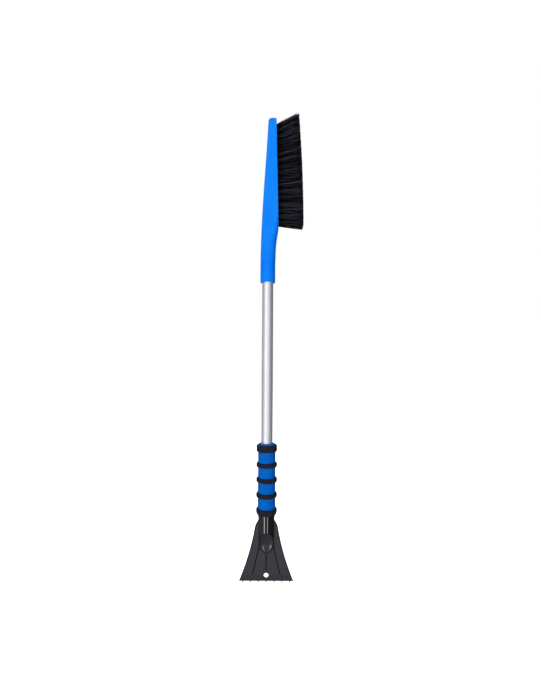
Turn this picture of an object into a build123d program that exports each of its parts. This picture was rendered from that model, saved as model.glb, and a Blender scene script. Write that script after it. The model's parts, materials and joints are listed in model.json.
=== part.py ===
from build123d import *
import os
from math import cos, radians, sin, tan

# Snow brush with a windshield ice scraper, in millimetres. +Z runs up the handle from the blade to
# the brush, +X is the way the bristles point, and the blade lies in the XZ plane, with its bevelled
# front on -Y. The origin is the centre of the hang hole, midway through the blade's thickness.

# Driving dimensions. Names that end in _Z are heights above the hang hole's centre.
FIT = 0.05  # radial gap between pieces pushed over one another

TUBE_RADIUS = 11.1
TUBE_WALL = 1.2
TUBE_BOTTOM_Z = 84.0
TUBE_TOP_Z = 626.6
BORE_RADIUS = TUBE_RADIUS + FIT

SCREW_RADIUS = 1.6
SCREW_LENGTH = 9.0
SCREW_POINT = 0.8  # chamfer at the screw's end
SCREW_HEAD_RADIUS = 3.3
SCREW_HEAD_HEIGHT = 2.2
SCREW_HEAD_ROUNDING = 0.9
CROSS_LENGTH = 3.6
CROSS_WIDTH = 0.8
CROSS_DEPTH = 1.1
SEAT_DEPTH = 1.2
SEAT_RADIUS = SCREW_HEAD_RADIUS + 0.4

# Scraper: plate, panels and edge
EDGE_Z = -11.0
BLADE_HALF_WIDTH = 51.9
BLADE_THICKNESS = 3.0
PANEL_RISE = 0.5  # height of the blade's flat panels above its border
BORDER_WIDTH = 1.9
BACK_BORDER = 4.5  # height of the border along the edge on the back
BEVEL_TOP_Z = 0.6
EDGE_THICKNESS = 0.8
GROOVE_WIDTH = 2.0
GROOVE_DEPTH = 1.0
GROOVE_END_Z = 8.6
SIDE_GROOVE_TOP_X = 14.0
SIDE_GROOVE_BOTTOM = (25.6, 3.6)
HANG_HOLE_RADIUS = 4.9
HANG_HOLE_POINT = 5.6  # from the hole's centre down to its point
NUB_COUNT = 7
NUB_SPACING = 14.95
NUB_WIDTH = 2.2
NUB_RISE = 0.7  # how far a nub stands out of the bevel
NUB_REACH = 1.5  # how far it stands below the blade edge
NUB_TOP_Z = EDGE_Z + 8.0

# Scraper: socket, nose and thumb dishes
SOCKET_RADIUS = 14.8
SOCKET_TOP_Z = 112.8
SPIGOT_RADIUS = 13.5
SPIGOT_TOP_Z = 141.0
SCRAPER_SCREW_Z = 96.6
NOSE_HALF_WIDTH = 14.6
NOSE_SIDE_Z = 52.6
NOSE_POINT_Z = 39.5
SLOPE_TOP_Z = 82.6  # where the sloped faces of the nose meet the socket's surface
SLOPE_ANGLE = 16.4
DISH_HALF_WIDTH = 12.9
DISH_WIDEST_Z = 65.0
DISH_POINT_Z = 42.0
DISH_CENTRE_Z = 62.3
DISH_CENTRE_Y = SOCKET_RADIUS - (SLOPE_TOP_Z - DISH_CENTRE_Z) * tan(radians(SLOPE_ANGLE))
DISH_DEPTH = 5.4
DISH_ROUND_RADIUS = 34.5
DISH_LONG_RADIUS = 41.0

# Grip
SLEEVE_RADIUS = 17.15
SLEEVE_TOP_Z = 246.6
SLEEVE_ROUNDING = 2.6
RING_RADIUS = 20.1
RING_HEIGHT = 8.7
RING_ROUNDING = 2.4
RING_PITCH = 28.5
LOWEST_RING_Z = 149.2
BAND_Z = 237.6
BAND_HEIGHT = 13.4
COLLAR_TOP_Z = 124.5
COLLAR_SEAT_Z = 117.5
COLLAR_FLARE_Z = 119.5
COLLAR_BOTTOM_RADIUS = 17.0

# Brush head
HEAD_SOCKET_RADIUS = 15.15
HEAD_MOUTH_Z = 567.5
HEAD_BORE_DEPTH = 60.0
HEAD_TOP_Z = 914.4
HEAD_TOP_ROUNDING = 3.5
HEAD_MOUTH_ROUNDING = 2.2
FACE_EDGE_ROUNDING = 1.2
FACE_CORNER = 4.0  # radius of the corner between the bristle face and the top
HEAD_SCREW_Z = 594.6
FACE_BOTTOM_X = 21.3
FACE_BOTTOM_Z = 684.6
FACE_TAPER = 1.2  # degrees by which the bristle face turns upwards

# Bristles
TUFT_LENGTH = 51.5
TUFT_ROOT_RADIUS = 2.3
TUFT_TIP_RADIUS = 4.8
TUFT_COLLAR = 1.5  # straight part above the bristle face, before the tuft flares
TUFT_PLACES = 17
LOWEST_TUFT_Z = 689.9
HIGHEST_TUFT_Z = 899.5
ROW_PITCH = 7.8
ROW_SPLAY = 1.5  # degrees of outward lean from one row to the next
LEAN_AT_BOTTOM = -5.5  # degrees above level, at the lowest tuft
LEAN_GAIN = 15.5
LEAN_CURVE = 15.0
TUFT_HOLE_DEPTH = 11.5
ANCHOR_DEPTH = 8.6
ANCHOR_HEIGHT = 2.0
ANCHOR_THICKNESS = 0.5

pieces = {}


def tuft_plane(row_offset, share):
    """Plane at a tuft's root on the bristle face, with its Z along the tuft.

    row_offset counts rows from the middle, and share runs from 0 to 1 up the face."""
    z = LOWEST_TUFT_Z + share * (HIGHEST_TUFT_Z - LOWEST_TUFT_Z)
    x = FACE_BOTTOM_X - (z - FACE_BOTTOM_Z) * sin(radians(FACE_TAPER))
    lean = radians(LEAN_AT_BOTTOM + LEAN_GAIN * share + LEAN_CURVE * share**2)
    splay = radians(ROW_SPLAY * row_offset)
    along = (cos(lean) * cos(splay), sin(splay), sin(lean) * cos(splay))
    return Plane(origin=(x, row_offset * ROW_PITCH, z), x_dir=(0, 1, 0), z_dir=along)


# Each row has its distance from the middle of the face, in row pitches, and its lowest place in use;
# the last row starts one place higher than the others.
ROWS = {
    "bristle_row_front": (-1.5, 0),
    "bristle_row_mid_front": (-0.5, 0),
    "bristle_row_mid_back": (0.5, 0),
    "bristle_row_back": (1.5, 1),
}
ROW_PLANES = {
    node: [tuft_plane(row_offset, i / (TUFT_PLACES - 1)) for i in range(first_place, TUFT_PLACES)]
    for node, (row_offset, first_place) in ROWS.items()
}
ALL_TUFTS = [plane for planes in ROW_PLANES.values() for plane in planes]


def back_plane(y, z):
    """Plane on the far side of the handle, facing away from its front."""
    return Plane(origin=(0, y, z), z_dir=(0, 1, 0))


# Handle tube: open at both ends, with a pilot hole for the screw at each end.
with BuildPart() as handle_tube:
    with BuildSketch(Plane.XY.offset(TUBE_BOTTOM_Z)):
        Circle(TUBE_RADIUS)
        Circle(TUBE_RADIUS - TUBE_WALL, mode=Mode.SUBTRACT)
    extrude(amount=TUBE_TOP_Z - TUBE_BOTTOM_Z)
    with Locations(back_plane(TUBE_RADIUS, SCRAPER_SCREW_Z), back_plane(TUBE_RADIUS, HEAD_SCREW_Z)):
        Hole(SCREW_RADIUS + FIT, depth=2 * TUBE_WALL)
pieces["handle_tube"] = handle_tube


def socket_screw(surface_radius, screw_z):
    """Pan-head self-tapping screw, seated in a socket's far side and reaching into the tube."""
    with BuildPart(back_plane(surface_radius - SEAT_DEPTH, screw_z)) as screw:
        Cylinder(SCREW_HEAD_RADIUS, SCREW_HEAD_HEIGHT, align=(Align.CENTER, Align.CENTER, Align.MIN))
        fillet(screw.edges().sort_by(Axis.Y)[-1], SCREW_HEAD_ROUNDING)
        with Locations((0, 0, SCREW_HEAD_HEIGHT)):
            Box(CROSS_LENGTH, CROSS_WIDTH, 2 * CROSS_DEPTH, mode=Mode.SUBTRACT)
            Box(CROSS_WIDTH, CROSS_LENGTH, 2 * CROSS_DEPTH, mode=Mode.SUBTRACT)
        Cylinder(SCREW_RADIUS, SCREW_LENGTH, align=(Align.CENTER, Align.CENTER, Align.MAX))
        chamfer(screw.edges().sort_by(Axis.Y)[0], SCREW_POINT)
    return screw


pieces["scraper_head_screw"] = socket_screw(SOCKET_RADIUS, SCRAPER_SCREW_Z)
pieces["brush_head_screw"] = socket_screw(HEAD_SOCKET_RADIUS, HEAD_SCREW_Z)

# Grip sleeve: foam tube with a rounded top end, opened at the bottom for the scraper's spigot.
with BuildPart() as grip_sleeve:
    with BuildSketch(Plane.XY.offset(COLLAR_SEAT_Z + FIT)):
        Circle(SLEEVE_RADIUS)
        Circle(BORE_RADIUS, mode=Mode.SUBTRACT)
    extrude(amount=SLEEVE_TOP_Z - COLLAR_SEAT_Z - FIT)
    outer_top_edge = grip_sleeve.edges().group_by(Axis.Z)[-1].sort_by(SortBy.LENGTH)[-1]
    fillet(outer_top_edge, SLEEVE_ROUNDING)
    with BuildSketch(Plane.XY.offset(COLLAR_SEAT_Z)):
        Circle(SPIGOT_RADIUS + FIT)
    extrude(amount=SPIGOT_TOP_Z - COLLAR_SEAT_Z + FIT, mode=Mode.SUBTRACT)
pieces["grip_sleeve"] = grip_sleeve


def foam_ring(middle_z, height):
    """Ring of black foam around the sleeve, with a rounded outside."""
    inner_radius = SLEEVE_RADIUS + FIT
    with BuildPart() as ring:
        with BuildSketch(Plane.XZ):
            with Locations(((inner_radius + RING_RADIUS) / 2, middle_z)):
                section = Rectangle(RING_RADIUS - inner_radius, height)
            fillet(section.vertices().group_by(Axis.X)[-1], RING_ROUNDING)
        revolve(axis=Axis.Z)
    return ring


pieces["grip_ring_lower"] = foam_ring(LOWEST_RING_Z, RING_HEIGHT)
pieces["grip_ring_middle"] = foam_ring(LOWEST_RING_Z + RING_PITCH, RING_HEIGHT)
pieces["grip_ring_upper"] = foam_ring(LOWEST_RING_Z + 2 * RING_PITCH, RING_HEIGHT)
pieces["grip_top_band"] = foam_ring(BAND_Z, BAND_HEIGHT)

# Bottom collar: a cup that holds the sleeve's lower end and rounds in towards the scraper's socket.
with BuildPart() as grip_bottom_collar:
    with BuildSketch(Plane.XZ):
        with BuildLine():
            bottom_z = SOCKET_TOP_Z + FIT
            Polyline(
                (COLLAR_BOTTOM_RADIUS, bottom_z),
                (SPIGOT_RADIUS + FIT, bottom_z),
                (SPIGOT_RADIUS + FIT, COLLAR_SEAT_Z),
                (SLEEVE_RADIUS + FIT, COLLAR_SEAT_Z),
                (SLEEVE_RADIUS + FIT, COLLAR_TOP_Z),
                (RING_RADIUS - RING_ROUNDING, COLLAR_TOP_Z),
            )
            RadiusArc(
                (RING_RADIUS - RING_ROUNDING, COLLAR_TOP_Z),
                (RING_RADIUS, COLLAR_TOP_Z - RING_ROUNDING),
                RING_ROUNDING,
            )
            Line((RING_RADIUS, COLLAR_TOP_Z - RING_ROUNDING), (RING_RADIUS, COLLAR_FLARE_Z))
            TangentArc((RING_RADIUS, COLLAR_FLARE_Z), (COLLAR_BOTTOM_RADIUS, bottom_z), tangent=(0, -1))
        make_face()
    revolve(axis=Axis.Z)
pieces["grip_bottom_collar"] = grip_bottom_collar

# Scraper head. The blade is a flat plate that flares from the socket to the edge. Its panels stand
# a little above its border, and a nose with a thumb dish joins it to the round socket.
PANEL_Y = BLADE_THICKNESS / 2 + PANEL_RISE
PLATE_TOP = (COLLAR_BOTTOM_RADIUS - 0.2, SOCKET_TOP_Z)
NECK_MIDDLE = (15.7, 107.2)
NECK = (15.3, 102.0)
SHOULDER = (20.1, 93.8)
SHOULDER_MIDDLE = (21.45, 90.6)
FLANK_TOP = (22.3, 87.1)
FLANK_MIDDLE = (33.2, 40.6)
EDGE_CORNER = (BLADE_HALF_WIDTH, EDGE_Z)


def moved_in(point, inset):
    """The point, moved towards the middle of the blade by inset."""
    return (point[0] - inset, point[1])


def flared_outline(top_points, inset):
    """Closed outline of the blade below its neck, with what top_points adds above it."""
    with BuildLine() as outline:
        Polyline((0, EDGE_Z), (0, top_points[0][1]), *top_points)
        Line(top_points[-1], moved_in(SHOULDER, inset))
        ThreePointArc(*[moved_in(point, inset) for point in (SHOULDER, SHOULDER_MIDDLE, FLANK_TOP)])
        ThreePointArc(*[moved_in(point, inset) for point in (FLANK_TOP, FLANK_MIDDLE, EDGE_CORNER)])
        Line(moved_in(EDGE_CORNER, inset), (0, EDGE_Z))
    return outline.line


def plate_outline():
    """Outline of the whole plate: the flared blade, and the neck that widens up to the collar."""
    with BuildSketch() as outline:
        with BuildLine():
            add(flared_outline([NECK], inset=0))
        make_face()
        with BuildLine():
            Polyline(NECK, (0, NECK[1]), (0, PLATE_TOP[1]), PLATE_TOP)
            ThreePointArc(PLATE_TOP, NECK_MIDDLE, NECK)
        make_face()
        mirror(about=Plane.YZ)
    return outline.sketch


def panel_outline(bottom_z):
    """Outline of the raised panels, inside the border and above bottom_z."""
    with BuildSketch() as outline:
        with BuildLine():
            add(flared_outline([moved_in(NECK, BORDER_WIDTH)], BORDER_WIDTH))
        make_face()
        mirror(about=Plane.YZ)
        with Locations((0, bottom_z)):
            Rectangle(
                3 * BLADE_HALF_WIDTH,
                BLADE_HALF_WIDTH,
                align=(Align.CENTER, Align.MAX),
                mode=Mode.SUBTRACT,
            )
    return outline.sketch


def nose_outline():
    """Front outline of the nose: straight sides that close to a point on the blade."""
    with BuildSketch() as outline:
        with BuildLine():
            Polyline(
                (0, NOSE_POINT_Z),
                (0, SOCKET_TOP_Z),
                (SOCKET_RADIUS, SOCKET_TOP_Z),
                (NOSE_HALF_WIDTH, NOSE_SIDE_Z),
            )
            ThreePointArc((NOSE_HALF_WIDTH, NOSE_SIDE_Z), (8.3, 45.1), (0, NOSE_POINT_Z))
        make_face()
        mirror(about=Plane.YZ)
    return outline.sketch


def dish_outline():
    """Leaf-shaped front outline of a thumb dish, round at the top and pointed at the bottom."""
    side = (DISH_HALF_WIDTH, DISH_WIDEST_Z)
    diagonal = sin(radians(45))
    upper_middle = (
        DISH_HALF_WIDTH * diagonal,
        DISH_WIDEST_Z + (SLOPE_TOP_Z - DISH_WIDEST_Z) * diagonal,
    )
    with BuildSketch() as outline:
        with BuildLine():
            ThreePointArc((0, SLOPE_TOP_Z), upper_middle, side)
            ThreePointArc(side, (9.9, 52.2), (0, DISH_POINT_Z))
            Line((0, DISH_POINT_Z), (0, SLOPE_TOP_Z))
        make_face()
        mirror(about=Plane.YZ)
    return outline.sketch


def slope_plane(side):
    """Plane of the nose's sloped face, on the front (side -1) or the back (side 1)."""
    slope = radians(SLOPE_ANGLE)
    facing = (0, side * cos(slope), -sin(slope))
    return Plane(origin=(0, side * DISH_CENTRE_Y, DISH_CENTRE_Z), x_dir=(1, 0, 0), z_dir=facing)


def thumb_dish(side):
    """Hollow of a thumb dish: a long ellipsoid sunk into the slope and trimmed to the leaf outline."""
    slope = slope_plane(side)
    middle = slope.origin + slope.z_dir * (DISH_ROUND_RADIUS - DISH_DEPTH)
    with BuildPart() as hollow:
        with BuildSketch(Plane(origin=middle, x_dir=slope.y_dir, z_dir=(1, 0, 0))):
            Ellipse(DISH_LONG_RADIUS, DISH_ROUND_RADIUS)
            Rectangle(
                3 * DISH_LONG_RADIUS,
                2 * DISH_ROUND_RADIUS,
                align=(Align.CENTER, Align.MIN),
                mode=Mode.INTERSECT,
            )
        revolve(axis=Axis(middle, slope.y_dir))
        with BuildSketch(Plane.XZ):
            add(dish_outline())
        extrude(amount=-side * 2 * SOCKET_RADIUS, mode=Mode.INTERSECT)
    return hollow.part


def groove(start, end):
    """Round-ended channel in the blade's face, as a sketch on the XZ plane."""
    with BuildSketch() as channel:
        SlotCenterPoint(((start[0] + end[0]) / 2, (start[1] + end[1]) / 2), end, GROOVE_WIDTH)
    return channel.sketch


# Nose: the socket's round body, trimmed to the nose's outline, sloped down to the blade and dished.
dishes = [thumb_dish(side) for side in (-1, 1)]
with BuildPart() as nose:
    with BuildSketch(Plane.XY.offset(NOSE_POINT_Z)):
        Circle(SOCKET_RADIUS)
    extrude(amount=SOCKET_TOP_Z - NOSE_POINT_Z)
    with BuildSketch(Plane.XZ):
        add(nose_outline())
    extrude(amount=2 * SOCKET_RADIUS, both=True, mode=Mode.INTERSECT)
    for side in (-1, 1):
        with BuildSketch(slope_plane(side)):
            Rectangle(4 * SOCKET_RADIUS, 8 * SOCKET_RADIUS)
        extrude(amount=2 * SOCKET_RADIUS, mode=Mode.SUBTRACT)
    add(dishes, mode=Mode.SUBTRACT)

with BuildPart() as scraper_head:
    # Plate
    with BuildSketch(Plane.XZ):
        add(plate_outline())
    extrude(amount=BLADE_THICKNESS / 2, both=True)
    # Panels; the front one stops at the bevel
    for side, panel_bottom_z in ((1, BEVEL_TOP_Z), (-1, EDGE_Z + BACK_BORDER)):
        with BuildSketch(Plane.XZ):
            add(panel_outline(panel_bottom_z))
        extrude(amount=side * PANEL_Y)
    add(nose.part)
    # Spigot that reaches up inside the grip
    with BuildSketch(Plane.XY.offset(SOCKET_TOP_Z)):
        Circle(SPIGOT_RADIUS)
    extrude(amount=SPIGOT_TOP_Z - SOCKET_TOP_Z)
    # Grooves, on both faces
    for side in (1, -1):
        with BuildSketch(Plane.XZ.offset(side * PANEL_Y)):
            add(groove((0, NOSE_POINT_Z), (0, GROOVE_END_Z)))
            for hand in (1, -1):
                groove_top = (hand * SIDE_GROOVE_TOP_X, NOSE_SIDE_Z)
                groove_bottom = (hand * SIDE_GROOVE_BOTTOM[0], SIDE_GROOVE_BOTTOM[1])
                add(groove(groove_top, groove_bottom))
        extrude(amount=-side * GROOVE_DEPTH, mode=Mode.SUBTRACT)
    # Bevel on the front, down to a narrow flat edge
    back_y = BLADE_THICKNESS / 2
    bevel_slope = (BLADE_THICKNESS - EDGE_THICKNESS) / (BEVEL_TOP_Z - EDGE_Z)
    with BuildSketch(Plane.YZ):
        with BuildLine():
            Polyline(
                (-BLADE_THICKNESS, BEVEL_TOP_Z),
                (-back_y, BEVEL_TOP_Z),
                (back_y - EDGE_THICKNESS, EDGE_Z),
                (-BLADE_THICKNESS, EDGE_Z),
                close=True,
            )
        make_face()
    extrude(amount=BLADE_HALF_WIDTH + 1, both=True, mode=Mode.SUBTRACT)
    # Ice-breaking nubs: short ribs on the bevel that reach below the edge
    nub_bottom_z = EDGE_Z - NUB_REACH
    nub_top_y = back_y - EDGE_THICKNESS - (NUB_TOP_Z - EDGE_Z) * bevel_slope
    nub_planes = [Plane.YZ.offset((i - (NUB_COUNT - 1) / 2) * NUB_SPACING) for i in range(NUB_COUNT)]
    with BuildSketch(*nub_planes):
        with BuildLine():
            Polyline(
                (back_y, EDGE_Z + NUB_REACH),
                (back_y, nub_bottom_z + NUB_RISE),
                (back_y - NUB_RISE, nub_bottom_z),
                (back_y - EDGE_THICKNESS - NUB_RISE, nub_bottom_z),
                (back_y - EDGE_THICKNESS - 2 * NUB_RISE, EDGE_Z),
                (nub_top_y, NUB_TOP_Z),
                (back_y - EDGE_THICKNESS / 2, NUB_TOP_Z),
                close=True,
            )
        make_face()
    extrude(amount=NUB_WIDTH / 2, both=True)
    # Teardrop hang hole: its point is drawn by the two tangents to its round part
    tangent_z = -(HANG_HOLE_RADIUS**2) / HANG_HOLE_POINT
    tangent_x = (HANG_HOLE_RADIUS**2 - tangent_z**2) ** 0.5
    with BuildSketch(Plane.XZ):
        Circle(HANG_HOLE_RADIUS)
        with BuildLine():
            Polyline((-tangent_x, tangent_z), (0, -HANG_HOLE_POINT), (tangent_x, tangent_z), close=True)
        make_face()
    extrude(amount=2 * PANEL_Y, both=True, mode=Mode.SUBTRACT)
    # Bore for the tube and seat for the screw
    with BuildSketch(Plane.XY.offset(TUBE_BOTTOM_Z)):
        Circle(BORE_RADIUS)
    extrude(amount=SPIGOT_TOP_Z - TUBE_BOTTOM_Z, mode=Mode.SUBTRACT)
    with Locations(back_plane(SOCKET_RADIUS, SCRAPER_SCREW_Z)):
        CounterBoreHole(SCREW_RADIUS + FIT, SEAT_RADIUS, SEAT_DEPTH, depth=SOCKET_RADIUS / 2)
pieces["scraper_head"] = scraper_head

# Brush head: a round socket that grows into a block with a flat bristle face. Each section is a rounded
# rectangle, given by its height, back, front, half width and corner radius.
HEAD_SECTIONS = (
    (610.6, -15.15, 15.15, 15.15, 15.0),
    (636.6, -14.75, 16.1, 15.5, 13.6),
    (661.0, -14.0, 18.4, 16.3, 11.2),
    (685.5, -12.95, 21.9, 17.1, 7.4),
    (725.5, -11.1, 25.0, 17.6, 7.2),
    (769.0, -8.65, 24.4, 17.7, 7.2),
    (818.0, -5.6, 23.4, 17.5, 7.2),
    (862.5, -3.05, 22.4, 17.1, 7.1),
    (891.0, -1.55, 21.7, 16.8, 7.0),
    (HEAD_TOP_Z, -0.25, 21.0, 16.4, 7.0),
)
LOFT_BOTTOM_Z = HEAD_SECTIONS[0][0]
FACE_TOP_X = FACE_BOTTOM_X - (HEAD_TOP_Z - FACE_BOTTOM_Z) * tan(radians(FACE_TAPER))
FACE_CORNER_INSET = 0.97 * FACE_CORNER  # the arc meets both faces at a slight angle
FACE_NORMAL = (cos(radians(FACE_TAPER)), 0, sin(radians(FACE_TAPER)))
with BuildPart() as brush_head:
    for section_z, back_x, front_x, half_width, corner in HEAD_SECTIONS:
        with BuildSketch(Plane(origin=((back_x + front_x) / 2, 0, section_z))):
            RectangleRounded(front_x - back_x, 2 * half_width, corner)
    loft()
    fillet(brush_head.faces().sort_by(Axis.Z)[-1].edges(), HEAD_TOP_ROUNDING)
    extrude(brush_head.faces().sort_by(Axis.Z)[0], amount=LOFT_BOTTOM_Z - HEAD_MOUTH_Z)
    split(
        bisect_by=Plane(origin=(FACE_BOTTOM_X, 0, FACE_BOTTOM_Z), z_dir=FACE_NORMAL),
        keep=Keep.BOTTOM,
    )
    bristle_face = brush_head.faces().filter_by(GeomType.PLANE).sort_by(SortBy.AREA)[-1]
    fillet(bristle_face.edges().sort_by(SortBy.LENGTH)[-2:], FACE_EDGE_ROUNDING)
    # Round the corner between the bristle face and the top
    with BuildSketch(Plane.XZ):
        with Locations((FACE_TOP_X - FACE_CORNER_INSET, HEAD_TOP_Z - FACE_CORNER_INSET)):
            Rectangle(2 * FACE_CORNER, 2 * FACE_CORNER, align=Align.MIN)
            Circle(FACE_CORNER, mode=Mode.SUBTRACT)
    extrude(amount=2 * HEAD_SOCKET_RADIUS, both=True, mode=Mode.SUBTRACT)
    fillet(brush_head.edges().group_by(Axis.Z)[0], HEAD_MOUTH_ROUNDING)
    with BuildSketch(Plane.XY.offset(HEAD_MOUTH_Z)):
        Circle(BORE_RADIUS)
    extrude(amount=HEAD_BORE_DEPTH, mode=Mode.SUBTRACT)
    with Locations(back_plane(HEAD_SOCKET_RADIUS, HEAD_SCREW_Z)):
        CounterBoreHole(SCREW_RADIUS + FIT, SEAT_RADIUS, SEAT_DEPTH, depth=HEAD_SOCKET_RADIUS / 2)
    with Locations(*ALL_TUFTS):
        with Locations((0, 0, -TUFT_HOLE_DEPTH)):
            Cylinder(
                TUFT_ROOT_RADIUS + FIT,
                TUFT_HOLE_DEPTH + 2 * TUFT_COLLAR,
                align=(Align.CENTER, Align.CENTER, Align.MIN),
                mode=Mode.SUBTRACT,
            )
pieces["brush_head"] = brush_head

# Bristle rows: each tuft has a round root in its hole, a slot for its anchor, and a flared brush end.
for node, planes in ROW_PLANES.items():
    with BuildPart() as bristle_row:
        with Locations(*planes):
            with Locations((0, 0, TUFT_COLLAR)):
                Cylinder(
                    TUFT_ROOT_RADIUS,
                    TUFT_HOLE_DEPTH + TUFT_COLLAR,
                    align=(Align.CENTER, Align.CENTER, Align.MAX),
                )
                Cone(
                    TUFT_ROOT_RADIUS,
                    TUFT_TIP_RADIUS,
                    TUFT_LENGTH - TUFT_COLLAR,
                    align=(Align.CENTER, Align.CENTER, Align.MIN),
                )
            with Locations((0, 0, -ANCHOR_DEPTH)):
                Box(
                    3 * TUFT_ROOT_RADIUS,
                    ANCHOR_THICKNESS + 2 * FIT,
                    ANCHOR_HEIGHT + 2 * FIT,
                    mode=Mode.SUBTRACT,
                )
    pieces[node] = bristle_row

# Anchors: one flat steel strip through the fold of each tuft.
with BuildPart() as tuft_anchors:
    with Locations(*ALL_TUFTS):
        with Locations((0, 0, -ANCHOR_DEPTH)):
            Box(2 * TUFT_ROOT_RADIUS, ANCHOR_THICKNESS, ANCHOR_HEIGHT)
pieces["tuft_anchors"] = tuft_anchors

os.makedirs("parts", exist_ok=True)
for node, piece in pieces.items():
    piece.part.label = node
    export_step(piece.part, f"parts/{node}.step")
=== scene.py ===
import json
import math
import random

import bpy
import numpy as np
from mathutils import Matrix, Vector, noise


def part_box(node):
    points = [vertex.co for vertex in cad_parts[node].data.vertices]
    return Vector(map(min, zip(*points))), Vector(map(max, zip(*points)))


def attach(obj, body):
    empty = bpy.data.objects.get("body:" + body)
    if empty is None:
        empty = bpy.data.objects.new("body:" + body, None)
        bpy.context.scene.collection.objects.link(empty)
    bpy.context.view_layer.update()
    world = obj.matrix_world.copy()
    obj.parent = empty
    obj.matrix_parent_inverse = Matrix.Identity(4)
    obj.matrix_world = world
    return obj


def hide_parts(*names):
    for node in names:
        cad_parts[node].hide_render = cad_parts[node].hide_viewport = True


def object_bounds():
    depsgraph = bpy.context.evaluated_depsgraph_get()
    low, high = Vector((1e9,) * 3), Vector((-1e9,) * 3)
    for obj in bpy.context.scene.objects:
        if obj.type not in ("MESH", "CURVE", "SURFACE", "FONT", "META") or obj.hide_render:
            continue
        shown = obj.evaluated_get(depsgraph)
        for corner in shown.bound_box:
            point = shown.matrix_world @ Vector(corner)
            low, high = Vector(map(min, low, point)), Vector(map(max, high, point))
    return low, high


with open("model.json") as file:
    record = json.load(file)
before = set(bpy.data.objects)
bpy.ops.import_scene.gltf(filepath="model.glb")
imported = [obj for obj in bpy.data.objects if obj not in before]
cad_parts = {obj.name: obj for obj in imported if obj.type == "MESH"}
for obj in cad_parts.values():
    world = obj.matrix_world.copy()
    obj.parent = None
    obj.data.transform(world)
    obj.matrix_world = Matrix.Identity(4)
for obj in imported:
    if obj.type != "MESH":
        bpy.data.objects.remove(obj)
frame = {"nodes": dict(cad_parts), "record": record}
cad_low, cad_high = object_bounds()
nodes = frame["nodes"]
MM = 0.001
SEED = 746
FIT = 0.05 * MM  # gap between pieces pushed over one another


# ---------------------------------------------------------------- small node-tree helpers

def srgb(red, green, blue):
    """Linear colour from 0-255 display values."""
    def linear(value):
        value /= 255
        return value / 12.92 if value <= 0.04045 else ((value + 0.055) / 1.055) ** 2.4
    return (linear(red), linear(green), linear(blue), 1.0)


class Shader:
    """A material's node tree with short calls for the few kinds of node used here."""

    def __init__(self, name):
        self.material = bpy.data.materials.new(name)
        self.material.use_nodes = True
        self.tree = self.material.node_tree
        self.bsdf = self.tree.nodes["Principled BSDF"]
        self.position = self.add("ShaderNodeTexCoord").outputs["Object"]

    def add(self, kind, **settings):
        node = self.tree.nodes.new(kind)
        for key, value in settings.items():
            setattr(node, key, value)
        return node

    def feed(self, socket, value):
        """Links value to a socket if it is an output, and sets it otherwise."""
        if isinstance(value, bpy.types.NodeSocket):
            self.tree.links.new(value, socket)
        else:
            socket.default_value = value

    def set(self, name, value):
        self.feed(self.bsdf.inputs[name], value)

    def math(self, operation, a, b=0.0, clamp=False):
        node = self.add("ShaderNodeMath", operation=operation, use_clamp=clamp)
        self.feed(node.inputs[0], a)
        self.feed(node.inputs[1], b)
        return node.outputs[0]

    def stretch(self, scales):
        """Object position times a scale for each axis, in features per metre."""
        node = self.add("ShaderNodeVectorMath", operation="MULTIPLY")
        self.feed(node.inputs[0], self.position)
        self.feed(node.inputs[1], scales)
        return node.outputs[0]

    def axes(self):
        """X, Y and Z of the object position."""
        node = self.add("ShaderNodeSeparateXYZ")
        self.feed(node.inputs[0], self.position)
        return node.outputs

    def noise(self, scale, detail=3.0, roughness=0.5, vector=None):
        node = self.add("ShaderNodeTexNoise")
        self.feed(node.inputs["Vector"], vector or self.position)
        node.inputs["Scale"].default_value = scale
        node.inputs["Detail"].default_value = detail
        node.inputs["Roughness"].default_value = roughness
        return node.outputs[0]

    def cells(self, scale):
        node = self.add("ShaderNodeTexVoronoi")
        self.feed(node.inputs["Vector"], self.position)
        node.inputs["Scale"].default_value = scale
        return node.outputs["Distance"]

    def remap(self, value, low, high, to_low=0.0, to_high=1.0):
        node = self.add("ShaderNodeMapRange")
        self.feed(node.inputs["Value"], value)
        for key, number in (("From Min", low), ("From Max", high), ("To Min", to_low), ("To Max", to_high)):
            self.feed(node.inputs[key], number)
        return node.outputs[0]

    def blend(self, factor, a, b):
        node = self.add("ShaderNodeMix", data_type="RGBA")
        self.feed(node.inputs[0], factor)
        self.feed(node.inputs[6], a)
        self.feed(node.inputs[7], b)
        return node.outputs[2]

    def soft_edge(self, radius):
        """Surface normal with its hard edges rounded by radius."""
        node = self.add("ShaderNodeBevel", samples=6)
        node.inputs["Radius"].default_value = radius
        return node.outputs[0]

    def edge_mask(self, radius):
        """1 on hard edges, 0 elsewhere: how far the rounded normal turns from the true one."""
        dot = self.add("ShaderNodeVectorMath", operation="DOT_PRODUCT")
        self.feed(dot.inputs[0], self.soft_edge(radius))
        self.feed(dot.inputs[1], self.add("ShaderNodeNewGeometry").outputs["Normal"])
        return self.remap(dot.outputs["Value"], 1.0, 0.9)

    def bump(self, height, distance, strength=1.0, normal=None):
        node = self.add("ShaderNodeBump")
        node.inputs["Strength"].default_value = strength
        node.inputs["Distance"].default_value = distance
        self.feed(node.inputs["Height"], height)
        if normal is not None:
            self.feed(node.inputs["Normal"], normal)
        return node.outputs[0]


# ---------------------------------------------------------------- materials

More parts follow.
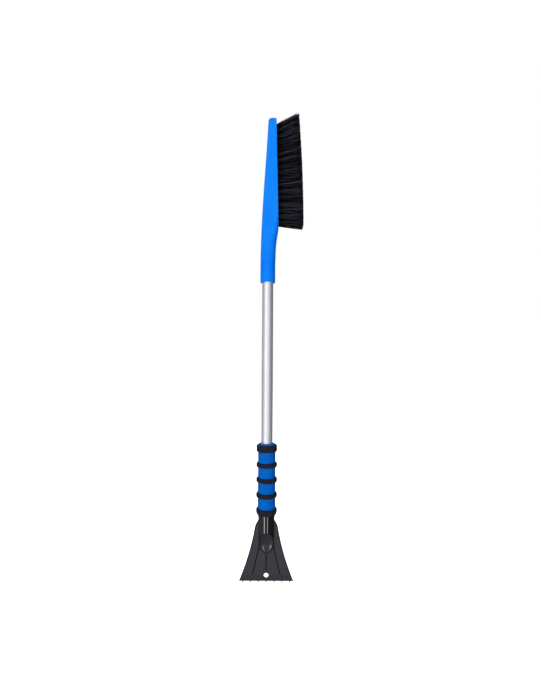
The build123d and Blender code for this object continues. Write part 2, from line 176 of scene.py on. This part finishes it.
PANEL_DEPTH = 2.0 * MM  # how far the blade's panels stand from its mid-plane
PANEL_TOLERANCE = 0.12 * MM
PANEL_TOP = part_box("grip_bottom_collar")[0].z
SUNK_SHARE = 0.96  # of PANEL_DEPTH: a surface nearer the mid-plane counts as sunk
BEVEL_TOP = 0.6 * MM
HOLE_RADIUS = 5.3 * MM  # just outside the hang hole's wall
DISH_HALF_WIDTH = 13 * MM
DISH_HALF_LENGTH = 20.3 * MM
DISH_MIDDLE = 62.3 * MM
DISH_RIM = 0.96  # value of the dish's ellipse where its matt grain starts
DISH_FLOOR = 0.78  # and where the grain is full
TOP_TUFT_SLOPE = math.tan(math.radians(25))
TOP_HIGHLIGHT_START = 24 * MM  # below the head's top, where the painted highlight on the top tips begins
# below the head's top, where the painted highlight on the top tips is full
TOP_HIGHLIGHT_FULL = 21 * MM


def blue_plastic():
    """Satin moulded polypropylene: even blue with painted light that makes it a little lighter up the head,
    paler on worn edges.
    """
    s = Shader("blue_plastic")
    low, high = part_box("brush_head")
    z = s.axes()["Z"]
    cloud = s.remap(s.noise(28.0, 4.0), 0.35, 0.65)
    # painted light: the lower colour stands for the less lit neck and the upper one for the better lit head
    lower = s.blend(cloud, srgb(0, 113, 234), srgb(2, 120, 243))
    upper = s.blend(cloud, srgb(5, 122, 234), srgb(10, 129, 242))
    colour = s.blend(s.remap(z, low.z, (low.z + high.z) / 2), lower, upper)
    worn = s.math("MULTIPLY", s.edge_mask(0.8 * MM), s.remap(s.noise(180.0), 0.4, 0.7), clamp=True)
    s.set("Base Color", s.blend(s.math("MULTIPLY", worn, 0.3), colour, srgb(80, 165, 250)))
    s.set("Roughness", s.remap(s.noise(90.0, 5.0), 0.3, 0.7, 0.42, 0.56))
    s.set("Specular IOR Level", 0.06)
    grain = s.math("ADD", s.noise(2600.0, 2.0), s.math("MULTIPLY", s.noise(700.0, 2.0), 0.4))
    s.set("Normal", s.bump(grain, 0.05 * MM, 0.5, s.soft_edge(0.6 * MM)))
    return s.material


def aluminium():
    """Drawn tube, satin finished: fine streaks along its length."""
    s = Shader("aluminium")
    streak = s.noise(1.0, 3.0, 0.6, s.stretch((1500.0, 1500.0, 9.0)))
    broad = s.noise(1.0, 2.0, 0.5, s.stretch((260.0, 260.0, 2.0)))
    colour = s.blend(s.remap(streak, 0.3, 0.7), srgb(200, 200, 208), srgb(221, 221, 229))
    s.set("Base Color", s.blend(s.remap(broad, 0.4, 0.65), colour, srgb(209, 210, 219)))
    s.set("Metallic", 0.7)
    s.set("Roughness", s.remap(streak, 0.25, 0.75, 0.42, 0.56))
    s.set("Normal", s.bump(streak, 0.02 * MM, 0.4))
    return s.material


def foam(name, dark, light, fleck):
    """Closed-cell foam: fine pores, soft mottling and no shine."""
    s = Shader(name)
    pores = s.cells(1500.0)
    mottle = s.noise(240.0, 5.0, 0.6)
    colour = s.blend(s.remap(mottle, 0.35, 0.65), dark, light)
    s.set("Base Color", s.blend(s.remap(pores, 0.55, 0.9, 0.0, 0.35), colour, fleck))
    s.set("Roughness", s.remap(mottle, 0.3, 0.7, 0.82, 0.95))
    s.set("Specular IOR Level", 0.05)
    height = s.math("ADD", pores, s.math("MULTIPLY", s.noise(420.0, 3.0), 0.7))
    s.set("Normal", s.bump(height, 0.16 * MM, 0.6))
    return s.material


def scraper_masks(s):
    """Masks of the scraper's matt panels and bevel, its sunk surfaces and its thumb dish."""
    x, y, z = s.axes()
    depth = s.math("ABSOLUTE", y)
    flat = s.math("COMPARE", depth, PANEL_DEPTH)
    flat.node.inputs[2].default_value = PANEL_TOLERANCE
    panel = s.math("MULTIPLY", flat, s.math("LESS_THAN", z, PANEL_TOP))
    panel = s.math("MAXIMUM", panel, s.math("LESS_THAN", z, BEVEL_TOP))
    from_hole = s.math("ADD", s.math("MULTIPLY", x, x), s.math("MULTIPLY", z, z))
    hole = s.math("LESS_THAN", from_hole, HOLE_RADIUS**2)
    panel = s.math("MULTIPLY", panel, s.math("SUBTRACT", 1.0, hole))
    sunk = s.math("LESS_THAN", depth, SUNK_SHARE * PANEL_DEPTH)
    sunk = s.math("MAXIMUM", s.math("MULTIPLY", sunk, s.math("GREATER_THAN", z, BEVEL_TOP)), hole)
    aside = s.math("POWER", s.math("DIVIDE", x, DISH_HALF_WIDTH), 2.0)
    along = s.math("POWER", s.math("DIVIDE", s.math("SUBTRACT", z, DISH_MIDDLE), DISH_HALF_LENGTH), 2.0)
    dish = s.remap(s.math("ADD", aside, along), DISH_RIM, DISH_FLOOR)
    panel = s.math("MULTIPLY", panel, s.math("SUBTRACT", 1.0, dish))
    return panel, sunk, dish


def black_plastic():
    """Glossy black moulding with a fine matt grain on the blade's panels and bevel, and in the dish."""
    s = Shader("black_plastic")
    panel, sunk, dish = scraper_masks(s)
    scuff = s.remap(s.noise(1.0, 4.0, 0.6, s.stretch((420.0, 420.0, 30.0))), 0.52, 0.75)
    gloss = s.blend(scuff, srgb(4, 4, 9), srgb(11, 11, 17))
    grain_colour = s.blend(s.remap(s.noise(1900.0, 2.0), 0.35, 0.65), srgb(39, 39, 46), srgb(50, 50, 58))
    colour = s.blend(dish, s.blend(panel, gloss, grain_colour), srgb(27, 26, 31))
    worn = s.math("MULTIPLY", s.edge_mask(0.5 * MM), s.math("MULTIPLY", s.math("SUBTRACT", 1.0, sunk), 0.2))
    s.set("Base Color", s.blend(worn, colour, srgb(80, 80, 88)))
    s.set("Specular IOR Level", s.remap(s.math("MAXIMUM", panel, sunk), 0.0, 1.0, 0.75, 0.25))
    shine = s.remap(s.noise(160.0, 4.0), 0.3, 0.7, 0.05, 0.1)
    matt = s.math("ADD", s.math("MULTIPLY", panel, 0.42), s.math("MULTIPLY", dish, 0.17))
    s.set("Roughness", s.math("ADD", shine, matt))
    grain = s.math("MULTIPLY", s.noise(2300.0, 3.0), s.math("ADD", s.math("MULTIPLY", panel, 0.9), 0.01))
    s.set("Normal", s.bump(grain, 0.09 * MM, 0.7, s.soft_edge(0.45 * MM)))
    return s.material


def bristle_fibre():
    """Black filament, each one a little different in tone and shine, with a painted olive-grey highlight on
    the top tips and painted shade towards the roots.
    """
    s = Shader("bristle")
    shade = s.add("ShaderNodeNewGeometry").outputs["Random Per Island"]
    x, _, z = s.axes()
    lift = s.math("SUBTRACT", z, s.math("MULTIPLY", x, TOP_TUFT_SLOPE))
    head_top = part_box("brush_head")[1].z
    upper = s.remap(lift, head_top - TOP_HIGHLIGHT_START, head_top - TOP_HIGHLIGHT_FULL)
    top_tip_highlight = s.math("MULTIPLY", upper, s.remap(x, 0.3 * cad_high.x, 0.7 * cad_high.x))
    black = s.blend(s.math("POWER", shade, 5.0), srgb(4, 4, 9), srgb(84, 84, 102))
    # painted highlight: the top tips are blended towards olive grey, standing for light falling on them
    # from above
    colour = s.blend(s.math("MULTIPLY", top_tip_highlight, 0.8), black, srgb(90, 88, 72))
    # painted shade: the filaments darken towards their roots, where the tufts shade one another; the same
    # mask dims their shine
    root = s.remap(x, 0.25 * cad_high.x, 0.5 * cad_high.x, 0.75, 0.0)
    s.set("Base Color", s.blend(root, colour, srgb(1, 1, 3)))
    s.set("Roughness", s.remap(s.math("ADD", shade, s.noise(300.0)), 0.3, 1.6, 0.38, 0.6))
    s.set("Specular IOR Level", s.remap(root, 0.0, 0.75, 0.08, 0.03))
    s.set("Normal", s.bump(s.noise(1.0, 2.0, 0.5, s.stretch((300.0, 2500.0, 2500.0))), 0.02 * MM, 0.5))
    return s.material


def plated_steel():
    """Zinc-plated steel: pale, faintly mottled, with a fine bump grain."""
    s = Shader("plated_steel")
    mottle = s.noise(600.0, 4.0)
    s.set("Base Color", s.blend(s.remap(mottle, 0.35, 0.65), srgb(168, 170, 174), srgb(206, 206, 204)))
    s.set("Metallic", 1.0)
    s.set("Roughness", s.remap(mottle, 0.3, 0.7, 0.24, 0.42))
    s.set("Normal", s.bump(s.noise(2400.0), 0.02 * MM, 0.4, s.soft_edge(0.2 * MM)))
    return s.material


MATERIALS = {
    "blue_plastic": blue_plastic(),
    "aluminium": aluminium(),
    "blue_foam": foam("blue_foam", srgb(0, 86, 172), srgb(0, 97, 189), srgb(0, 76, 158)),
    "black_foam": foam("black_foam", srgb(27, 28, 38), srgb(36, 37, 48), srgb(20, 20, 28)),
    "black_plastic": black_plastic(),
    "bristle": bristle_fibre(),
    "plated_steel": plated_steel(),
}
SLOT_OF = {row["node"]: row["material_slot"] for row in frame["record"]["subparts"]}
for name, node in nodes.items():
    node.data.materials.clear()
    node.data.materials.append(MATERIALS[SLOT_OF[name]])


def finish_piece(piece, node_name):
    """Gives a new piece the material of the CAD node that it stands for, and ties it to the frame."""
    piece.data.materials.append(MATERIALS[SLOT_OF[node_name]])
    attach(piece, "root")
    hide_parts(node_name)


def new_object(name, vertices, faces, smooth=True):
    mesh = bpy.data.meshes.new(name)
    mesh.from_pydata(vertices, [], faces)
    mesh.update()
    mesh.polygons.foreach_set("use_smooth", [smooth] * len(mesh.polygons))
    piece = bpy.data.objects.new(name, mesh)
    bpy.context.scene.collection.objects.link(piece)
    return piece


# ---------------------------------------------------------------- foam grip

FOAM_ROUNDING = 2.6 * MM
SPIGOT_WALL = 2.4 * MM  # of the scraper's spigot, around the tube
SINK = 0.16 * MM  # how far the sleeve sinks between the rings
SINK_RAMP = 10 * MM
SLEEVE_STEPS = 96
COLLAR_FLARE = 3.1 * MM
COLLAR_STEPS = 8
COLLAR_FLARE_RISE = 2 * MM
RING_STEP = 1.2 * MM
SLEEVE_LIP_START = 15  # degrees
RIPPLE = 0.06 * MM  # unevenness of the foam's skin
COARSE_RIPPLE = 18 * MM
COARSE_TURN = 1.6  # how fast the coarse ripple changes around the axis
FINE_RIPPLE = 2.2 * MM
FINE_SHARE = 0.5


def lathe(name, profile, turns=144):
    """Turns a closed (radius, z) profile about the tube's axis, with a slightly uneven skin."""
    count = len(profile)
    vertices = []
    for step in range(turns):
        angle = 2 * math.pi * step / turns
        for radius, z in profile:
            x, y = math.cos(angle), math.sin(angle)
            coarse = noise.noise(Vector((x, y, z / COARSE_RIPPLE)) * COARSE_TURN)
            fine = noise.noise(Vector((x * radius, y * radius, z)) / FINE_RIPPLE)
            radius_here = radius + RIPPLE * (coarse + FINE_SHARE * fine)
            vertices.append((x * radius_here, y * radius_here, z))
    faces = []
    for step in range(turns):
        here, there = step * count, (step + 1) % turns * count
        for i in range(count):
            j = (i + 1) % count
            faces.append((here + i, there + i, there + j, here + j))
    return new_object(name, vertices, faces)


def arc(centre, radius, start, end, steps=6):
    """Points on an arc in the (radius, z) plane, angles in degrees."""
    angles = [math.radians(start + (end - start) * i / steps) for i in range(steps + 1)]
    return [(centre[0] + radius * math.cos(a), centre[1] + radius * math.sin(a)) for a in angles]


def ring_profile(inner, outer, bottom, top):
    """Cross-section of a ring with a rounded outside, counter-clockwise from the inner bottom."""
    side = max(2, round((top - bottom) / RING_STEP))
    low, high = bottom + FOAM_ROUNDING, top - FOAM_ROUNDING
    edge = [(outer, low + (high - low) * i / side) for i in range(1, side)]
    return (
        [(inner, bottom)]
        + arc((outer - FOAM_ROUNDING, low), FOAM_ROUNDING, -90, 0)
        + edge
        + arc((outer - FOAM_ROUNDING, high), FOAM_ROUNDING, 0, 90)
        + [(inner, top)]
    )


def foam_rings():
    sleeve_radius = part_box("grip_sleeve")[1].x
    for node_name in ("grip_ring_lower", "grip_ring_middle", "grip_ring_upper", "grip_top_band"):
        low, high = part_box(node_name)
        profile = ring_profile(sleeve_radius + FIT, high.x, low.z, high.z)
        finish_piece(lathe(node_name + "_foam", profile), node_name)


def foam_sleeve():
    """Sleeve whose skin sinks a little between the rings that squeeze it."""
    low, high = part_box("grip_sleeve")
    tube_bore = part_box("handle_tube")[1].x + FIT
    spigot_bore = tube_bore + SPIGOT_WALL
    spigot_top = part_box("scraper_head")[1].z + FIT
    rings = [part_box(name) for name in ("grip_ring_lower", "grip_ring_middle", "grip_ring_upper")]
    tight = [(bottom.z + top.z) / 2 for bottom, top in rings]
    tight += [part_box("grip_bottom_collar")[1].z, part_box("grip_top_band")[0].z]
    side = []
    for i in range(SLEEVE_STEPS + 1):
        z = low.z + (high.z - FOAM_ROUNDING - low.z) * i / SLEEVE_STEPS
        gap = min(abs(z - ring_z) for ring_z in tight)
        side.append((high.x - SINK * min(1.0, gap / SINK_RAMP), z))
    profile = (
        [(spigot_bore, low.z)]
        + side
        + arc((high.x - FOAM_ROUNDING, high.z - FOAM_ROUNDING), FOAM_ROUNDING, SLEEVE_LIP_START, 90)
        + [(tube_bore, high.z), (tube_bore, spigot_top), (spigot_bore, spigot_top)]
    )
    finish_piece(lathe("grip_sleeve_foam", profile), "grip_sleeve")


def foam_collar():
    """Cup around the sleeve's lower end, rounded in towards the scraper."""
    low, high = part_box("grip_bottom_collar")
    seat, sleeve_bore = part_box("grip_sleeve")[0].z - FIT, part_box("grip_sleeve")[1].x + FIT
    spigot_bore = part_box("handle_tube")[1].x + FIT + SPIGOT_WALL
    flare_top = seat + COLLAR_FLARE_RISE
    bulge = []
    for i in range(COLLAR_STEPS + 1):
        turn = math.radians(90 * i / COLLAR_STEPS)
        radius = high.x - COLLAR_FLARE * (1 - math.sin(turn))
        bulge.append((radius, flare_top - (flare_top - low.z) * math.cos(turn)))
    profile = (
        [(spigot_bore, low.z)]
        + bulge
        + arc((high.x - FOAM_ROUNDING, high.z - FOAM_ROUNDING), FOAM_ROUNDING, 0, 90)
        + [(sleeve_bore, high.z), (sleeve_bore, seat), (spigot_bore, seat)]
    )
    finish_piece(lathe("grip_bottom_collar_foam", profile), "grip_bottom_collar")


foam_rings()
foam_sleeve()
foam_collar()

# ---------------------------------------------------------------- bristles

ROW_NAMES = sorted(name for name in nodes if name.startswith("bristle_row_"))
FILAMENTS = 120  # in each tuft
FILAMENT_RADIUS = 0.27 * MM
FILAMENT_STATIONS = (0.0, 0.14, 0.32, 0.55, 0.78, 1.0)
FAN = 1.6  # how much further a tuft fans out along its row than its CAD cone
HOLE_SHARE = 11.5 / 63.0  # part of a CAD tuft's length that lies in its hole
BURIED = 6 * MM  # from a tuft's root to where its visible filaments start
UNEVEN_CUT = 0.55 * MM
UNEVEN_WAY = 0.25  # radians
UNEVEN_REACH = 0.12
BOW = 0.6 * MM
BEND = 0.2  # how much later than a straight line a filament fans out
TAPER = 0.25
RIM_DEPTH = 0.5 * MM  # from an end of a CAD tuft, within which a corner belongs to its rim
AXIS_PASSES = 4
CORNER_TUCK = {-1: 0.75, 0: 0.0, 1: 0.45}  # how much less the lowest and highest tufts fan outwards
CORNER_CUT = 5 * MM  # how much shorter their outer filaments are


def tufts_of(node_name):
    """Root centre, tip centre, root radius and tip radius of every tuft in a row's CAD node."""
    node = nodes[node_name]
    corners = np.array([node.matrix_world @ vertex.co for vertex in node.data.vertices])
    welded, welded_index = np.unique(np.round(corners, 6), axis=0, return_inverse=True)
    welded_index = welded_index.ravel()
    edges = welded_index[np.array([edge.vertices[:] for edge in node.data.edges])]
    label = np.arange(len(welded))
    while True:
        lowest = np.minimum(label[edges[:, 0]], label[edges[:, 1]])
        spread = label.copy()
        np.minimum.at(spread, edges[:, 0], lowest)
        np.minimum.at(spread, edges[:, 1], lowest)
        spread = spread[spread]
        if (spread == label).all():
            break
        label = spread
    tufts = []
    for part in np.unique(label):
        points = welded[label == part]
        axis = np.array((1.0, 0.0, 0.0))
        for _ in range(AXIS_PASSES):
            along = points @ axis
            tip_rim = points[along > along.max() - RIM_DEPTH]
            root_rim = points[along < along.min() + RIM_DEPTH]
            tip, root = tip_rim.mean(axis=0), root_rim.mean(axis=0)
            axis = (tip - root) / np.linalg.norm(tip - root)
        tip_radius = np.linalg.norm(tip_rim - tip, axis=1).mean()
        root_radius = np.linalg.norm(root_rim - root, axis=1).mean()
        tufts.append((Vector(root), Vector(tip), root_radius, tip_radius))
    return sorted(tufts, key=lambda tuft: tuft[0].z)


def trim_curve(rows):
    """Curve x(z) through the tips of all the tufts, along which the brush is cut."""
    tips = [tuft[1] for tufts in rows.values() for tuft in tufts]
    return np.polyfit([tip.z for tip in tips], [tip.x for tip in tips], 2)


def filament(rng, tuft, trim, outward):
    """Centre line of one filament: straight in its hole, then fanning out to the cut.

    outward is -1 for the lowest tuft, 1 for the highest and 0 for those between them."""
    root, tip, root_radius, tip_radius = tuft
    axis = (tip - root).normalized()
    across = axis.cross(Vector((0, 0, 1))).normalized()
    upward = across.cross(axis)
    if upward.z < 0:
        upward = -upward
    reach = math.sqrt(rng.random())
    turn = rng.uniform(0, 2 * math.pi)
    start = (across * math.cos(turn) + upward * math.sin(turn)) * reach * (root_radius - FILAMENT_RADIUS)
    turn += rng.gauss(0, UNEVEN_WAY)
    wide = max(0.0, reach + rng.gauss(0, UNEVEN_REACH)) * tip_radius
    rise = math.sin(turn) * FAN
    stray = max(0.0, rise * outward)
    rise *= 1.0 - CORNER_TUCK[outward] * min(1.0, stray)
    fan = across * math.cos(turn) * wide + upward * rise * wide
    face = root + axis * (tip - root).length * HOLE_SHARE
    end = tip + fan
    corner = CORNER_CUT * min(1.0, stray * wide / tip_radius) ** 3
    cut = np.polyval(trim, end.z) - abs(rng.gauss(0, UNEVEN_CUT)) - corner
    way = end - (face + start)
    end = face + start + way * ((cut - face.x - start.x) / way.x)
    bow = (across * rng.gauss(0, 1) + upward * rng.gauss(0, 1)) * BOW
    line = []
    for t in FILAMENT_STATIONS:
        ease = t * (1 - BEND + BEND * t)
        line.append((face + start).lerp(end, ease) + bow * math.sin(math.pi * t))
    return [root + axis * BURIED + start] + line


def strand_mesh(name, lines):
    """Closed four-sided tubes along the given lines."""
    vertices, faces = [], []
    sides = 4
    for line in lines:
        first = len(vertices)
        way = (line[-1] - line[0]).normalized()
        u = way.orthogonal().normalized()
        v = way.cross(u)
        for i, point in enumerate(line):
            radius = FILAMENT_RADIUS * (1.0 - TAPER * i / (len(line) - 1))
            vertices += [point + u * radius, point + v * radius, point - u * radius, point - v * radius]
        for i in range(len(line) - 1):
            here, there = first + i * sides, first + (i + 1) * sides
            for k in range(sides):
                faces.append((here + k, here + (k + 1) % sides, there + (k + 1) % sides, there + k))
        last = len(vertices) - sides
        faces.append((first + 3, first + 2, first + 1, first))
        faces.append((last, last + 1, last + 2, last + 3))
    return new_object(name, vertices, faces)


def bristle_rows():
    """One piece for each CAD row, cut along one curve, each row with its own seeded draws."""
    rows = {name: tufts_of(name) for name in ROW_NAMES}
    trim = trim_curve(rows)
    for number, (name, tufts) in enumerate(rows.items()):
        rng = random.Random(SEED + number)
        lines = []
        for place, tuft in enumerate(tufts):
            outward = {0: -1, len(tufts) - 1: 1}.get(place, 0)
            lines += [filament(rng, tuft, trim, outward) for _ in range(FILAMENTS)]
        finish_piece(strand_mesh(name + "_strands", lines), name)


bristle_rows()

# ---------------------------------------------------------------- stage, light and camera

FLOOR_RADIUS = 9.0
FLOOR_SIDES = 64
CAMERA_PLACE = (6.2 * MM, -0.7, 0.3714)
CAMERA_TILT = 4.8  # degrees above the horizontal
CAMERA_ROLL = 0.29  # degrees
CAMERA_LENS = 18.0
CAMERA_SENSOR = 36.0


def stage_floor():
    """Large plain white floor that glows for the camera, so it shows no shadow.

    It is left out of reflections, so that the tall lights show in the glossy socket."""
    points = [
        (
            FLOOR_RADIUS * math.cos(2 * math.pi * i / FLOOR_SIDES),
            FLOOR_RADIUS * math.sin(2 * math.pi * i / FLOOR_SIDES),
            cad_low.z,
        )
        for i in range(FLOOR_SIDES)
    ]
    floor = new_object("floor", points, [tuple(range(FLOOR_SIDES))], smooth=False)
    floor.visible_glossy = False
    floor.visible_shadow = False
    s = Shader("floor")
    s.set("Base Color", srgb(225, 225, 225))
    s.set("Roughness", 0.9)
    s.set("Specular IOR Level", 0.0)
    s.set("Emission Color", (1.0, 1.0, 1.0, 1.0))
    s.set("Emission Strength", s.add("ShaderNodeLightPath").outputs["Is Camera Ray"])
    floor.data.materials.append(s.material)


def world_light(left, right, behind):
    """White behind the object for the camera, and for everything else a dim grey.

    The grey runs from left to right, and falls to the share behind at the back."""
    world = bpy.data.worlds.new("studio")
    bpy.context.scene.world = world
    world.use_nodes = True
    tree = world.node_tree

    def ramp(value, to_low, to_high):
        node = tree.nodes.new("ShaderNodeMapRange")
        node.inputs["From Min"].default_value = -1.0
        node.inputs["To Min"].default_value = to_low
        node.inputs["To Max"].default_value = to_high
        tree.links.new(value, node.inputs["Value"])
        return node.outputs[0]

    direction = tree.nodes.new("ShaderNodeSeparateXYZ")
    tree.links.new(tree.nodes.new("ShaderNodeTexCoord").outputs["Generated"], direction.inputs[0])
    ambient = tree.nodes.new("ShaderNodeMath")
    ambient.operation = "MULTIPLY"
    tree.links.new(ramp(direction.outputs["X"], left, right), ambient.inputs[0])
    tree.links.new(ramp(direction.outputs["Y"], 1.0, behind), ambient.inputs[1])
    strength = tree.nodes.new("ShaderNodeMapRange")
    strength.inputs["To Max"].default_value = 1.0
    tree.links.new(ambient.outputs[0], strength.inputs["To Min"])
    tree.links.new(tree.nodes.new("ShaderNodeLightPath").outputs["Is Camera Ray"], strength.inputs["Value"])
    background = tree.nodes["Background"]
    background.inputs["Color"].default_value = (1.0, 1.0, 1.0, 1.0)
    tree.links.new(strength.outputs[0], background.inputs["Strength"])


def softbox(name, azimuth, height, distance, width, tall, power, aim_z):
    """Rectangular light; azimuth 0 is the camera's side, positive to its right."""
    lamp = bpy.data.lights.new(name, "AREA")
    lamp.shape = "RECTANGLE"
    lamp.size, lamp.size_y = width, tall
    lamp.energy = power
    light = bpy.data.objects.new(name, lamp)
    turn = math.radians(azimuth)
    light.location = (distance * math.sin(turn), -distance * math.cos(turn), height)
    aim = Vector((0.0, 0.0, aim_z)) - light.location
    light.rotation_mode = "QUATERNION"
    light.rotation_quaternion = aim.to_track_quat("-Z", "Y")
    light.visible_camera = False
    bpy.context.scene.collection.objects.link(light)


def studio_camera():
    """Wide-angle camera close to the tool, level with the tube's lower part."""
    data = bpy.data.cameras.new("camera")
    data.sensor_width = CAMERA_SENSOR
    data.lens = CAMERA_LENS
    camera = bpy.data.objects.new("camera", data)
    tilt = Matrix.Rotation(math.radians(90 + CAMERA_TILT), 4, "X")
    roll = Matrix.Rotation(math.radians(CAMERA_ROLL), 4, "Z")
    place = Matrix.Translation(CAMERA_PLACE)
    camera.matrix_world = place @ tilt @ roll
    bpy.context.scene.collection.objects.link(camera)
    bpy.context.scene.camera = camera


stage_floor()
world_light(left=0.55, right=0.14, behind=0.2)
softbox("strip_left", azimuth=-31, height=0.5, distance=1.4, width=0.24, tall=2.8, power=17, aim_z=0.5)
softbox("strip_right", azimuth=17, height=0.5, distance=1.4, width=0.26, tall=2.8, power=9.5, aim_z=0.5)
softbox("overhead", azimuth=0, height=2.2, distance=0.5, width=1.2, tall=0.8, power=3, aim_z=0.6)
softbox("back", azimuth=180, height=2.1, distance=0.9, width=1.4, tall=1.0, power=26, aim_z=0.5)
studio_camera()
bpy.context.scene.view_settings.view_transform = "Standard"
